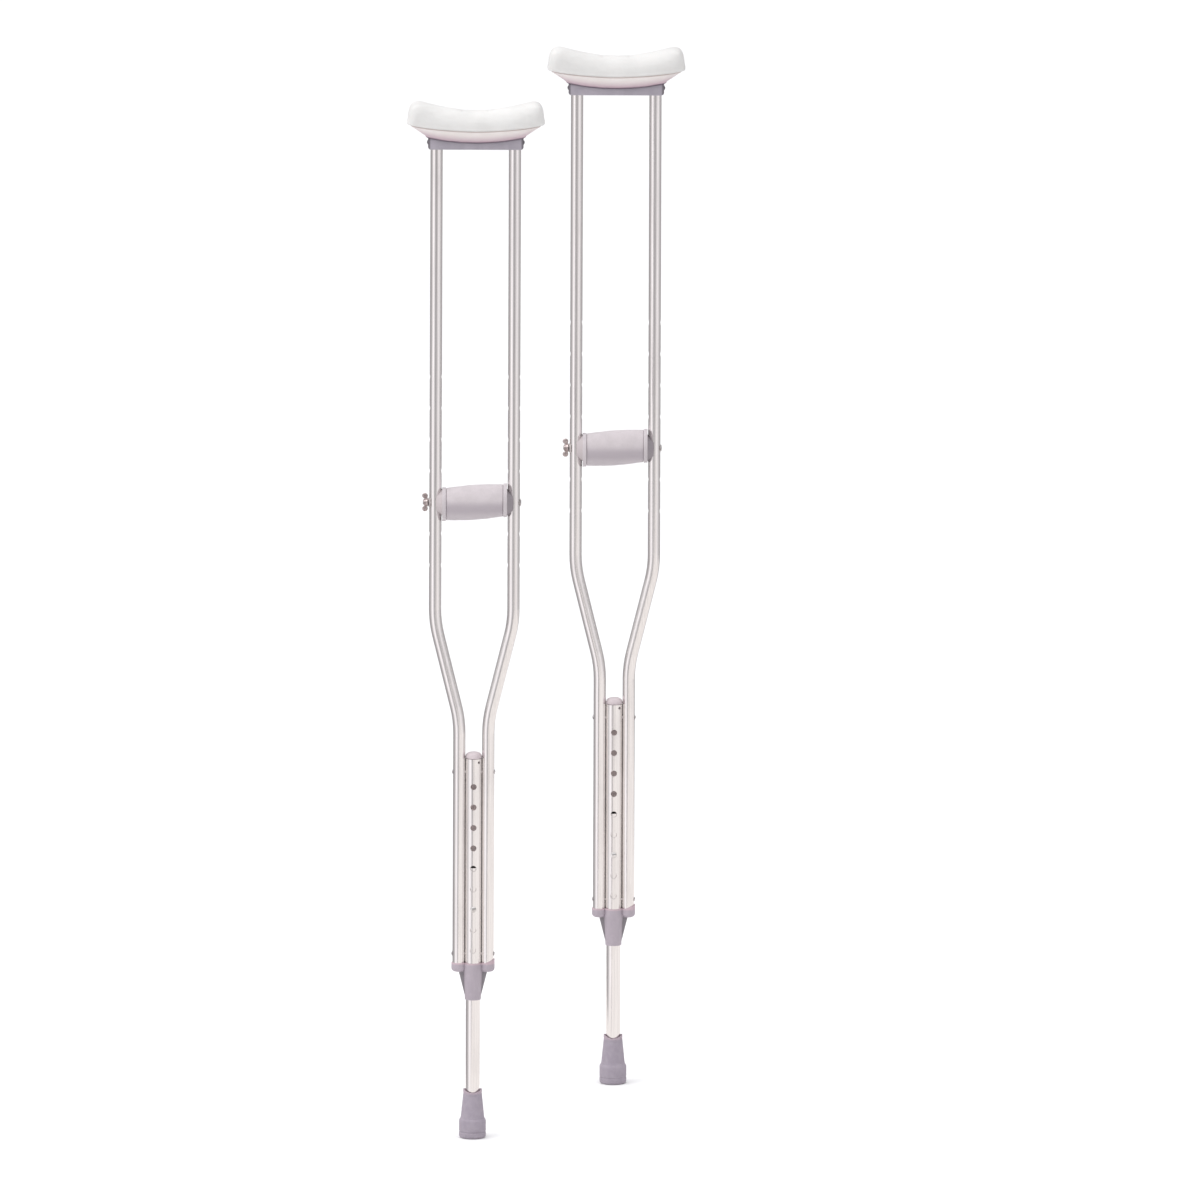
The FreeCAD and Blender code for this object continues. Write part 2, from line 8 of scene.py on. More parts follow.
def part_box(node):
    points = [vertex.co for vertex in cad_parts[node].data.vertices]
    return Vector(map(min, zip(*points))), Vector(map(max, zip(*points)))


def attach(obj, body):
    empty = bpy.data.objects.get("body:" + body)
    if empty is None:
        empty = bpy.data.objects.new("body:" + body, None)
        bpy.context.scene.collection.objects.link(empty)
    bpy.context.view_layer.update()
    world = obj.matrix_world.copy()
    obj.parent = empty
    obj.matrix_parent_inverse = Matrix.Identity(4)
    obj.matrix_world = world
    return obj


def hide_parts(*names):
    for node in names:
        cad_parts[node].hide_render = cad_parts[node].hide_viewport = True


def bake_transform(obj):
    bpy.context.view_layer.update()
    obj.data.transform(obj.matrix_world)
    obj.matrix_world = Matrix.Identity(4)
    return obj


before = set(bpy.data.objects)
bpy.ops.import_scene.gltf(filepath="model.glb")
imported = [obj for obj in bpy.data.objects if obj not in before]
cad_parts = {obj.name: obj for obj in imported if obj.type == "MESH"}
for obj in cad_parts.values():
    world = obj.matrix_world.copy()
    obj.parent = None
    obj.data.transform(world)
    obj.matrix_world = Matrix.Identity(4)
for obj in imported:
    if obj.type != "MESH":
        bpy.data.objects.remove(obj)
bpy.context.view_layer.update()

# Lengths are in millimetres about one crutch's own axis, with the floor at z = 0, unless a comment
# says metres. place() turns a finished mesh into metres and puts it on its crutch.
MM = 0.001
CRUTCHES = ("left", "right")
TINY = 1e-6

# ---- handgrip, its bolt and its wing nut ----
GRIP_Z, GRIP_HALF = 869.0, 38.4
GRIP_TILT = math.radians(4.0)
GRIP_END_R, GRIP_BELLY, GRIP_BORE_R = 20.9, 2.7, 13.05
GRIP_ROLL = 1.6
BOLT_TIP_X, THREAD_END_X, BOLT_SEAT_X = -69.5, -48.0, 61.05
BOLT_PITCH, THREAD_R, THREAD_DEPTH = 1.27, 3.12, 0.62
SHANK_R, BOLT_HEAD_R, BOLT_HEAD_DOME, BOLT_HEAD_EDGE = 3.15, 5.0, 1.3, 0.2
NUT_FACE_X, NUT_LENGTH, NUT_BORE_R = -62.6, 6.0, 3.35
NUT_BASE_R, NUT_NOSE_R = 5.0, 4.1
WING_X, WING_REACH = -66.5, 8.85

# ---- centre tube and its plug, with the hole through which it is staked ----
CENTRE_BORE_R = 10.4
PLUG_DOME_Z, PLUG_DOME, PLUG_DOME_R = 520.7, 6.2, 11.0
STAKE_Z, STAKE_TURN = 514.0, 40.0
STAKE_R, STAKE_REACH = 1.85, 14

# ---- rubber tip ----
TIP_BORE_R = 9.56
TIP_DIP, TIP_DIP_FROM, TIP_DIP_OVER = 4.0, 50.0, 12.0

# ---- spring behind the snap button: the strip's thickness, and how far its edges are rounded ----
SPRING_LEAF, SPRING_EDGE = 0.8, 0.12

# ---- underarm pad: its seam, its top and its belly, which lies in the holder ----
PAD_HALF, PAD_HALF_DEPTH = 92.0, 24.0
SEAM_Z, SEAM_RISE, SEAM_POWER = 1381.0, 7.5, 1.7
PAD_TOP_HALF, PAD_TOP_END_Z, PAD_TOP_MIDDLE_Z = 77.0, 1418.2, 1403.8
BELLY_MIDDLE_Z, BELLY_END_Z, BELLY_RISE = 1363.5, 1370.3, 18.2
HOLDER_HALF, HOLDER_HALF_DEPTH = 64.0, 13.0
PAD_SLACK, PAD_EDGE = 1.4, 11.0          # room left to swell into, and the roundness of its two faces
PAD_VOXEL, PAD_SWELL, CLOTH_FRAMES = 4.5, 4.0, 20
CLOTH = {
    "quality": 8, "mass": 0.02, "tension_stiffness": 2, "compression_stiffness": 2,
    "bending_stiffness": 1, "use_pressure": True, "uniform_pressure_force": 12,
}

# The two crutches stand the same distance either side of x = 0 and of y = 0. These are it, in metres.
AXIS_X = sum(corner.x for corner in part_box("right_centre_tube")) / 2
AXIS_Y = sum(corner.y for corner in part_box("right_centre_tube")) / 2


# ---------------------------------------------------------------- shapes

def arc_height(x, half, end_z, middle_z):
    """Height at x of the circular arc through (-half, end_z), (0, middle_z) and (half, end_z)."""
    rise = end_z - middle_z
    radius = (half**2 + rise**2) / (2 * rise)
    return middle_z + radius - math.sqrt(radius**2 - x**2)


def belly_height(x):
    """Underside of the pad: an arc in the holder, then a straight slope out to the seam."""
    x = abs(x)
    if x <= HOLDER_HALF:
        return arc_height(x, HOLDER_HALF, BELLY_END_Z, BELLY_MIDDLE_Z)
    return BELLY_END_Z + (x - HOLDER_HALF) / (PAD_HALF - HOLDER_HALF) * BELLY_RISE


def seam_height(x):
    return SEAM_Z + SEAM_RISE * (abs(x) / PAD_HALF) ** SEAM_POWER


def filleted(points, radius, steps=3):
    """A closed outline with its corners rounded, as far as their neighbours leave room."""
    rounded = []
    for i, point in enumerate(points):
        corner = Vector(point)
        back = Vector(points[i - 1]) - corner
        on = Vector(points[(i + 1) % len(points)]) - corner
        if corner.y < TINY or back.angle(on) > math.radians(176):
            rounded.append(corner)
            continue
        reach = min(radius / math.tan(back.angle(on) / 2), 0.45 * back.length, 0.45 * on.length)
        start, end = corner + back.normalized() * reach, corner + on.normalized() * reach
        for k in range(steps + 1):
            t = k / steps
            rounded.append(start * (1 - t) ** 2 + corner * 2 * t * (1 - t) + end * t * t)
    return rounded


def circle(steps):
    """The angles of the points of a ring."""
    return [2 * math.pi * k / steps for k in range(steps)]


def band(low, high):
    """The faces between two rings. A ring that is one point, repeated, makes triangles."""
    faces = []
    for k in range(len(low)):
        after = (k + 1) % len(low)
        face = list(dict.fromkeys((low[k], low[after], high[after], high[k])))
        if len(face) > 2:
            faces.append(face)
    return faces


def make_mesh(name, verts, faces):
    mesh = bpy.data.meshes.new(name)
    mesh.from_pydata([tuple(v) for v in verts], [], faces)
    bm = bmesh.new()
    bm.from_mesh(mesh)
    bmesh.ops.recalc_face_normals(bm, faces=bm.faces)
    bm.to_mesh(mesh)
    bm.free()
    return mesh


def lathe(name, outline, steps=96):
    """A closed outline of (distance along Z, radius) turned about Z."""
    verts, rings = [], []
    for along, radius in outline:
        if radius < TINY:
            rings.append([len(verts)] * steps)
            verts.append((0, 0, along))
            continue
        rings.append(list(range(len(verts), len(verts) + steps)))
        for angle in circle(steps):
            verts.append((radius * math.cos(angle), radius * math.sin(angle), along))
    faces = []
    for low, high in zip(rings, rings[1:] + rings[:1]):
        faces += band(low, high)
    return make_mesh(name, verts, faces)


def joined(name, meshes):
    bm = bmesh.new()
    for mesh in meshes:
        bm.from_mesh(mesh)
        bpy.data.meshes.remove(mesh)
    whole = bpy.data.meshes.new(name)
    bm.to_mesh(whole)
    bm.free()
    return whole


def evaluated(mesh, *modifiers):
    """The mesh with some modifiers applied. Each is (type, {setting: value})."""
    obj = bpy.data.objects.new("work", mesh)
    bpy.context.scene.collection.objects.link(obj)
    for kind, settings in modifiers:
        modifier = obj.modifiers.new(kind, kind)
        for key, value in settings.items():
            setattr(modifier, key, value)
    graph = bpy.context.evaluated_depsgraph_get()
    result = bpy.data.meshes.new_from_object(obj.evaluated_get(graph))
    bpy.data.objects.remove(obj)
    return result


def remeshed(mesh, voxel, iterations):
    return evaluated(
        mesh,
        ("REMESH", {"mode": "VOXEL", "voxel_size": voxel}),
        ("SMOOTH", {"factor": 0.5, "iterations": iterations}),
    )


def smooth(mesh, sharp_over=None):
    for polygon in mesh.polygons:
        polygon.use_smooth = True
    if sharp_over:
        mesh.set_sharp_from_angle(angle=math.radians(sharp_over))
    return mesh


def softened(node, width):
    """A moulded version of a hard CAD piece, its sharp edges rounded. It is in metres already."""
    sharp_over = math.radians(28)
    bm = bmesh.new()
    bm.from_mesh(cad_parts[node].data)
    bmesh.ops.remove_doubles(bm, verts=bm.verts, dist=TINY)
    bmesh.ops.dissolve_limit(bm, angle_limit=math.radians(0.5), verts=bm.verts, edges=bm.edges)
    sharp = [e for e in bm.edges if len(e.link_faces) == 2 and e.calc_face_angle() > sharp_over]
    bmesh.ops.bevel(
        bm, geom=sharp, offset=width * MM, offset_type="OFFSET", segments=2, profile=0.5,
        affect="EDGES", clamp_overlap=True, harden_normals=False)
    mesh = bpy.data.meshes.new(node + "_softened")
    bm.to_mesh(mesh)
    bm.free()
    return smooth(mesh, 40)


# ---------------------------------------------------------------- materials

class Nodes:
    """Short ways to add and link the shader nodes of a material or the world."""

    def __init__(self, owner, shader, coordinates):
        owner.use_nodes = True
        self.tree = owner.node_tree
        self.shader = self.tree.nodes[shader]
        self.place = self.tree.nodes.new("ShaderNodeTexCoord").outputs[coordinates]

    def link(self, source, target):
        self.tree.links.new(source, target)

    def stretched(self, scale):
        node = self.tree.nodes.new("ShaderNodeMapping")
        node.inputs["Scale"].default_value = scale
        self.link(self.place, node.inputs["Vector"])
        return node.outputs["Vector"]

    def noise(self, scale, stretch=(1, 1, 1), detail=4.0):
        node = self.tree.nodes.new("ShaderNodeTexNoise")
        node.inputs["Scale"].default_value = scale
        node.inputs["Detail"].default_value = detail
        node.inputs["Roughness"].default_value = 0.55
        self.link(self.stretched(stretch), node.inputs["Vector"])
        return node.outputs["Fac"]

    def cells(self, scale):
        node = self.tree.nodes.new("ShaderNodeTexVoronoi")
        node.inputs["Scale"].default_value = scale
        self.link(self.stretched((1, 1, 1)), node.inputs["Vector"])
        return node.outputs["Distance"]

    def ranged(self, value, low, high, out_low, out_high):
        node = self.tree.nodes.new("ShaderNodeMapRange")
        node.interpolation_type = "SMOOTHSTEP"
        limits = {"From Min": low, "From Max": high, "To Min": out_low, "To Max": out_high}
        for key, number in limits.items():
            node.inputs[key].default_value = number
        self.link(value, node.inputs["Value"])
        return node.outputs["Result"]

    def maths(self, kind, first, second=None, third=None):
        node = self.tree.nodes.new("ShaderNodeMath")
        node.operation = kind
        for socket, given in zip(node.inputs, (first, second, third)):
            if given is None:
                continue
            if isinstance(given, (int, float)):
                socket.default_value = given
            else:
                self.link(given, socket)
        return node.outputs[0]

    def product(self, first, second):
        return self.maths("MULTIPLY", first, second)

    def size(self, value):
        return self.maths("ABSOLUTE", value)

    def axis(self, name):
        node = self.tree.nodes.new("ShaderNodeSeparateXYZ")
        self.link(self.place, node.inputs[0])
        return node.outputs[name]

    def from_axis(self, name, stand):
        """Signed distance along X or Y, in metres, from the axis of the crutch that the piece is on."""
        value = self.axis(name)
        return self.maths("SUBTRACT", value, self.product(self.maths("SIGN", value), stand))

    def across(self):
        return self.from_axis("X", AXIS_X)

    def deep(self):
        return self.from_axis("Y", AXIS_Y)

    def radial(self):
        """Distance in metres from the axis of the crutch that the piece is on."""
        across = self.maths("POWER", self.across(), 2)
        deep = self.maths("POWER", self.deep(), 2)
        return self.maths("SQRT", self.maths("ADD", across, deep))

    def mixed(self, factor, first, second):
        node = self.tree.nodes.new("ShaderNodeMix")
        node.data_type = "RGBA"
        self.link(factor, node.inputs["Factor"])
        for socket, given in ((node.inputs[6], first), (node.inputs[7], second)):
            if isinstance(given, tuple):
                socket.default_value = (*given, 1)
            else:
                self.link(given, socket)
        return node.outputs[2]

    def ramp(self, factor, stops, tint):
        """A colour ramp round the horizon. Stops are (degrees from the camera's side, brightness)."""
        node = self.tree.nodes.new("ShaderNodeValToRGB")
        elements = node.color_ramp.elements
        while len(elements) < len(stops):
            elements.new(0.5)
        for element, (degrees, value) in zip(elements, stops):
            element.position = (degrees + 180) / 360
            element.color = (*(value * t for t in tint), 1)
        self.link(factor, node.inputs["Fac"])
        return node.outputs["Color"]

    def bump(self, height, strength, distance, after=None):
        node = self.tree.nodes.new("ShaderNodeBump")
        node.inputs["Strength"].default_value = strength
        node.inputs["Distance"].default_value = distance * MM
        self.link(height, node.inputs["Height"])
        if after is not None:
            self.link(after, node.inputs["Normal"])
        return node.outputs["Normal"]

    def finish(self, colour, roughness, normal, **fixed):
        self.link(colour, self.shader.inputs["Base Color"])
        self.link(roughness, self.shader.inputs["Roughness"])
        self.link(normal, self.shader.inputs["Normal"])
        self.fix(**fixed)

    def fix(self, **fixed):
        """Sets the shader's constant values. An underscore in a name stands for a space."""
        for key, value in fixed.items():
            self.shader.inputs[key.replace("_", " ")].default_value = value


def new_material(name):
    material = bpy.data.materials.new(name)
    return material, Nodes(material, "Principled BSDF", "Object")


def drawn_aluminium(name, bore=None):
    """Satin anodised tube: fine lines along Z, faint handling marks and short rub scratches.

    A bore, within the given radius in metres of the crutch's axis, is left dull. It glows faintly, a
    painted light that stands in for the light coming in through the height holes.
    """
    material, n = new_material(name)
    lines = n.noise(900, (1, 1, 0.012), detail=3)
    broad = n.noise(260, (1, 1, 0.02), detail=2)
    marks = n.noise(38, (1, 1, 0.35), detail=5)
    rubs = n.ranged(n.noise(420, (1, 1, 0.09), detail=2), 0.62, 0.74, 0, 1)
    base = n.mixed(n.ranged(lines, 0.3, 0.7, 0, 1), (0.82, 0.795, 0.785), (0.91, 0.885, 0.875))
    toned = n.mixed(n.ranged(marks, 0.5, 0.75, 0, 0.35), base, (0.76, 0.73, 0.72))
    colour = n.mixed(n.product(rubs, 0.25), toned, (0.95, 0.94, 0.94))
    drawn = n.ranged(broad, 0.3, 0.7, 0.13, 0.19)
    gloss = n.maths("ADD", drawn, n.ranged(marks, 0.45, 0.75, 0, 0.06))
    if bore:
        inner = n.ranged(n.radial(), bore - 0.0001, bore, 1, 0)
        gloss = n.maths("MAXIMUM", gloss, n.product(inner, 0.85))
        # painted light: a faint pink glow inside the bore
        n.fix(Emission_Color=(1.0, 0.86, 0.88, 1))
        n.link(n.product(inner, 0.06), n.shader.inputs["Emission Strength"])
    fine = n.bump(lines, 0.35, 0.02)
    normal = n.bump(rubs, 0.2, 0.02, fine)
    n.finish(colour, gloss, normal, Metallic=1.0)
    return material


def steel(name, dark, light, low, high):
    """Plated steel with small marks, darker where the plating has dulled."""
    material, n = new_material(name)
    grain = n.noise(1400, detail=3)
    dull = n.noise(210, detail=5)
    pits = n.ranged(n.noise(900, detail=1), 0.64, 0.72, 0, 1)
    base = n.mixed(n.ranged(dull, 0.35, 0.7, 0, 1), light, dark)
    colour = n.mixed(n.product(pits, 0.4), base, tuple(c * 0.6 for c in dark))
    gloss = n.ranged(dull, 0.3, 0.7, low, high)
    normal = n.bump(pits, 0.3, 0.05, n.bump(grain, 0.2, 0.02))
    n.finish(colour, gloss, normal, Metallic=1.0)
    return material


def rivet_metal():
    """Set aluminium rivet, with the faint ripple that the tool leaves."""
    material, n = new_material("rivet_metal")
    hammer = n.noise(700, detail=2)
    grime = n.noise(300, detail=4)
    colour = n.mixed(n.ranged(grime, 0.45, 0.7, 0, 1), (0.84, 0.81, 0.82), (0.62, 0.59, 0.60))
    gloss = n.ranged(hammer, 0.3, 0.7, 0.28, 0.44)
    n.finish(colour, gloss, n.bump(hammer, 0.35, 0.08), Metallic=1.0)
    return material


def moulded(name, shade, light, low=0.42, high=0.58, grain=0.05, tone=None):
    """Moulded nylon: spark-eroded grain, flow marks and paler rubbed patches.

    tone(nodes, colour) may change the colour in one region of the moulding, with a tone of its own or
    with painted shade.
    """
    material, n = new_material(name)
    pebble = n.cells(1500)
    fine = n.noise(2600, detail=2)
    flow = n.noise(60, (1, 1, 0.4), detail=4)
    rub = n.ranged(n.noise(150, detail=5), 0.56, 0.72, 0, 1)
    base = n.mixed(n.ranged(flow, 0.3, 0.7, 0, 1), shade, light)
    paler = tuple(min(1.0, c * 1.14) for c in light)
    colour = n.mixed(n.product(rub, 0.35), base, paler)
    if tone:
        colour = tone(n, colour)
    normal = n.bump(fine, 0.3, grain * 0.5, n.bump(pebble, 0.35, grain))
    n.finish(colour, n.ranged(flow, 0.3, 0.7, low, high), normal, IOR=1.5)
    return material


# The limits in the next three are places on the pieces, in metres.

def pink_lip_and_painted_web_shade(n, colour):
    """The collar's two webs get painted shade, darker than its boss as if the flange above shadows
    them, and its flange's upper edge is pinker.
    """
    lip = n.ranged(n.axis("Z"), 0.2362, 0.2382, 0, 0.7)
    edged = n.mixed(lip, colour, (0.56, 0.415, 0.455))
    out = n.ranged(n.size(n.across()), 0.0108, 0.0112, 0, 1)
    thin = n.ranged(n.size(n.deep()), 0.0016, 0.0019, 1, 0)
    under = n.ranged(n.axis("Z"), 0.2256, 0.2268, 1, 0)
    # painted shade: the webs under the flange are darkened, as if the flange shadows them
    web_shade = n.product(n.product(out, thin), under)
    return n.mixed(web_shade, edged, (0.235, 0.215, 0.235))


def painted_end_shade(n, colour):
    """The cradle's two ends carry painted shade, darker than its long sides, as if their rounded sides
    face away from the light.
    """
    out = n.ranged(n.size(n.across()), 0.0600, 0.0625, 0, 1)
    # painted shade on both ends of the cradle
    return n.mixed(out, colour, (0.15, 0.135, 0.155))


def painted_saddle_shade(n, colour):
    """Past its pale rim, a cup's saddle carries painted shade: a little at the nut's end, more at the
    other, as if lit from the nut's side.
    """
    across = n.across()
    head_side = n.ranged(across, 0.0432, 0.0438, 0, 1)
    nut_side = n.ranged(across, -0.0438, -0.0432, 1, 0)
    # painted shade: the saddle at the nut's end is a little darker, and the one at the head's end is
    # much darker
    partly_shaded = n.mixed(nut_side, colour, (0.50, 0.445, 0.455))
    return n.mixed(head_side, partly_shaded, (0.265, 0.235, 0.255))


def tip_rubber():
    """Matt rubber: fine grain, a chalky bloom, scuffs near the floor and a paler, pinker mouth."""
    material, n = new_material("tip_rubber_look")
    z = n.axis("Z")
    fine = n.noise(1800, detail=4)
    bloom = n.noise(120, detail=5)
    scuff = n.ranged(n.noise(330, (1, 1, 2.2), detail=5), 0.52, 0.66, 0, 1)
    near_floor = n.ranged(z, 0.002, 0.022, 1, 0)
    base = n.mixed(n.ranged(bloom, 0.35, 0.68, 0, 1), (0.325, 0.284, 0.338), (0.365, 0.322, 0.374))
    mouth = n.mixed(n.ranged(z, 0.0585, 0.0615, 0, 0.55), base, (0.46, 0.36, 0.40))
    scuffed = n.product(scuff, n.product(near_floor, 0.55))
    colour = n.mixed(scuffed, mouth, (0.24, 0.22, 0.25))
    rough = n.ranged(bloom, 0.3, 0.7, 0.62, 0.80)
    normal = n.bump(scuff, 0.25, 0.12, n.bump(fine, 0.4, 0.06))
    n.finish(colour, rough, normal, IOR=1.5)
    return material


def grip_foam():
    """Closed-cell foam with a skin: small cells, soft mottling, and painted shade in a greyer band just
    below the middle.
    """
    material, n = new_material("closed_cell_foam")
    cells = n.cells(1100)
    tiny = n.noise(2400, detail=3)
    mottle = n.noise(85, detail=5)
    open_cells = n.ranged(cells, 0.42, 0.62, 0, 1)
    base = n.mixed(n.ranged(mottle, 0.32, 0.68, 0, 1), (0.535, 0.488, 0.505), (0.578, 0.528, 0.547))
    z = n.axis("Z")
    # painted shade: a greyer band below the grip's middle, where less light falls
    below = n.ranged(z, (GRIP_Z - 3) * MM, (GRIP_Z + 9) * MM, 1, 0)
    painted_shade_band = n.product(below, n.ranged(z, (GRIP_Z - 17) * MM, (GRIP_Z - 7) * MM, 0.45, 1))
    shade_painted_foam = n.mixed(painted_shade_band, base, (0.415, 0.370, 0.40))
    colour = n.mixed(n.product(open_cells, 0.16), shade_painted_foam, (0.42, 0.385, 0.41))
    normal = n.bump(tiny, 0.3, 0.05, n.bump(cells, 0.45, 0.10))
    rough = n.ranged(mottle, 0.3, 0.7, 0.66, 0.82)
    n.finish(colour, rough, normal, IOR=1.45, Sheen_Weight=0.12, Sheen_Roughness=0.5)
    return material


def pad_skin():
    """Skinned foam: off-white, finely grained, pinker under the seam, with a brown seam line.

    It has painted shade by its height over the belly's arc, darkest in a painted shadow at the line
    where it meets the holder.
    """
    material, n = new_material("pad_skin")
    z = n.axis("Z")
    pores = n.cells(1300)
    fine = n.noise(1700, detail=3)
    cloud = n.noise(34, detail=5)
    creases = n.noise(95, (0.35, 1, 1.5), detail=4)
    share = n.maths("POWER", n.maths("DIVIDE", n.size(n.across()), PAD_HALF * MM), SEAM_POWER)
    seam = n.maths("MULTIPLY_ADD", share, SEAM_RISE * MM, SEAM_Z * MM)
    over = n.maths("SUBTRACT", z, seam)
    above = n.ranged(over, -0.0012, 0.0008, 0, 1)
    line = n.ranged(n.size(n.maths("ADD", over, 0.0003)), 0.0002, 0.0011, 1, 0)
    upper = n.mixed(n.ranged(cloud, 0.32, 0.68, 0, 1), (0.645, 0.638, 0.626), (0.685, 0.678, 0.666))
    lower = n.mixed(n.ranged(cloud, 0.32, 0.68, 0, 1), (0.725, 0.675, 0.655), (0.765, 0.715, 0.70))
    curve = (BELLY_END_Z - BELLY_MIDDLE_Z) / HOLDER_HALF**2 / MM
    squared = n.maths("POWER", n.across(), 2)
    lap = n.maths("SUBTRACT", z, n.maths("MULTIPLY_ADD", squared, curve, BELLY_MIDDLE_Z * MM))
    # painted shade over the belly, then a painted contact shadow where the pad meets the holder
    shaded = n.mixed(n.ranged(lap, 0.001, 0.0135, 0.92, 0), lower, (0.50, 0.365, 0.42))
    painted_contact_shadow = n.mixed(n.ranged(lap, 0.0004, 0.0030, 0.95, 0), shaded, (0.13, 0.095, 0.13))
    skin = n.mixed(above, painted_contact_shadow, upper)
    specks = n.ranged(n.noise(900, detail=2), 0.66, 0.74, 0, 0.22)
    marked = n.mixed(specks, skin, (0.70, 0.66, 0.64))
    colour = n.mixed(n.product(line, 0.8), marked, (0.42, 0.33, 0.31))
    normal = n.bump(creases, 0.22, 0.5, n.bump(fine, 0.25, 0.05, n.bump(pores, 0.3, 0.08)))
    n.finish(
        colour, n.ranged(cloud, 0.3, 0.7, 0.44, 0.60), normal, IOR=1.48,
        Subsurface_Weight=0.06, Subsurface_Radius=(0.004, 0.003, 0.0028), Subsurface_Scale=1.0)
    return material


ALUMINIUM = drawn_aluminium("drawn_aluminium")
# the centre tube's look has painted light: a faint glow in its bore
CENTRE_ALUMINIUM = drawn_aluminium("centre_tube_aluminium", CENTRE_BORE_R * MM)
RIVET = rivet_metal()
BUTTON = steel("plated_spring_steel", (0.60, 0.58, 0.57), (0.84, 0.82, 0.81), 0.14, 0.26)
WASHER = steel("zinc_washer_steel", (0.66, 0.62, 0.61), (0.86, 0.82, 0.81), 0.42, 0.55)
BOLT = steel("zinc_bolt_steel", (0.50, 0.47, 0.465), (0.68, 0.65, 0.645), 0.28, 0.42)
SET_RIVET = steel("dark_set_rivet", (0.16, 0.145, 0.165), (0.24, 0.22, 0.245), 0.42, 0.55)
FASTENER = steel("dulled_zinc_steel", (0.36, 0.295, 0.29), (0.56, 0.485, 0.475), 0.28, 0.42)
# The collar, cradle and cups below carry painted shade by place: the collar's webs, the cradle's ends
# and the cups' saddles.
COLLAR = moulded("grey_nylon", (0.39, 0.34, 0.385), (0.43, 0.375, 0.42), tone=pink_lip_and_painted_web_shade)
HOLDER = moulded("lavender_nylon", (0.325, 0.298, 0.342), (0.37, 0.338, 0.387), tone=painted_end_shade)
CUP = moulded("cup_nylon", (0.50, 0.458, 0.478), (0.55, 0.505, 0.525), 0.42, 0.56, tone=painted_saddle_shade)
CORE = moulded("core_nylon", (0.36, 0.33, 0.36), (0.42, 0.39, 0.42))
PLUG = moulded("plug_polythene", (0.53, 0.455, 0.475), (0.60, 0.525, 0.545), 0.36, 0.48, 0.03)
RUBBER = tip_rubber()
FOAM = grip_foam()
SKIN = pad_skin()


# ---------------------------------------------------------------- placing

def place(which, name, mesh, body, node, material, in_mm=True):
    """Puts a copy of a mesh on one crutch, in place of that crutch's CAD node.

    It rides on the body. With no body, the caller still has to say what moves it.
    """
    own = mesh.copy()
    if in_mm:
        low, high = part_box(which + "_centre_tube")
        middle = (low + high) / 2
        own.transform(Matrix.Translation((middle.x, middle.y, 0)) @ Matrix.Scale(MM, 4))
    own.materials.clear()
    own.materials.append(material)
    piece = bpy.data.objects.new(which + "_" + name, own)
    own.name = piece.name
    bpy.context.scene.collection.objects.link(piece)
    if body:
        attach(piece, which + "_" + body)
    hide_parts(which + "_" + node)
    return piece


def dress(node, material):
    """Gives both crutches' own CAD node its material."""
    for which in CRUTCHES:
        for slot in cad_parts[which + "_" + node].material_slots:
            slot.material = material


for kept, finish in (
    ("upright_nut_side", ALUMINIUM),
    ("upright_head_side", ALUMINIUM),
    ("centre_tube", CENTRE_ALUMINIUM),
    ("leg_tube", ALUMINIUM),
    ("frame_rivets", RIVET),
    ("holder_rivets", SET_RIVET),
    ("snap_button", BUTTON),
    ("tip_disc", FASTENER),
    ("grip_core", CORE),
):
    dress(kept, finish)


# ---------------------------------------------------------------- moulded and metal pieces

def plug_mesh():
    """Domed plug with a rim on the tube's end and a hollow skirt."""
    outline = [
        (518.0, 0), (518.0, 8.2), (506.5, 8.3), (506.5, 9.6), (519.1, 9.6), (519.2, 11.1),
        (520.6, 11.1),
    ]
    steps = 11
    for k in range(1, steps + 1):
        angle = math.pi / 2 * k / steps
        height = PLUG_DOME_Z + PLUG_DOME * math.sin(angle)
        outline.append((height, PLUG_DOME_R * math.cos(angle) ** 0.58))
    outline[-1] = (PLUG_DOME_Z + PLUG_DOME, 0)
    drilled = [(0, 0), (0, STAKE_R), (STAKE_REACH, STAKE_R), (STAKE_REACH, 0)]
    drill = lathe("stake_drill", drilled, 32)
    drill.transform(Matrix.Rotation(math.pi / 2, 4, "X"))
    drill.transform(Matrix.Rotation(math.radians(STAKE_TURN), 4, "Z"))
    drill.transform(Matrix.Translation((0, 0, STAKE_Z)))
    tool = bpy.data.objects.new("stake_drill", drill)
    plug = evaluated(
        lathe("plug", filleted(outline, 0.5)),
        ("BOOLEAN", {"operation": "DIFFERENCE", "solver": "EXACT", "object": tool}),
    )
    bpy.data.objects.remove(tool)
    return smooth(plug, 35)


def tip_mesh():
    """Flared ferrule: tread, grooved base, tapered sleeve, beaded mouth that dips front and back."""
    tread = [(2.4, 0), (2.4, 4.4), (0, 5.2), (0, 8.6), (2.6, 9.3), (2.6, 12.4), (0, 13.2), (0, 16.6)]
    base = [
        (0.9, 17.6), (2.4, 18.0), (7.0, 18.0), (7.5, 17.45), (8.5, 17.45), (9.0, 18.0), (22.6, 18.0),
        (24.6, 17.3),
    ]
    sleeve = [(26.0, 16.1), (29.5, 15.5), (44.0, 14.1), (59.5, 12.5), (61.0, 12.15)]
    mouth = [(61.8, 12.6), (65.2, 12.6), (66.0, 12.2), (65.6, 11.5)]
    bore = [(60.5, TIP_BORE_R), (14.5, TIP_BORE_R), (14.5, 0)]
    mesh = lathe("tip", filleted(tread + base + sleeve + mouth + bore, 0.7), 128)
    for vertex in mesh.vertices:
        x, y, z = vertex.co
        share = min(1.0, max(0.0, (z - TIP_DIP_FROM) / TIP_DIP_OVER))
        vertex.co.z -= TIP_DIP * share * y * y / max(TINY, x * x + y * y)
    return smooth(mesh, 50)


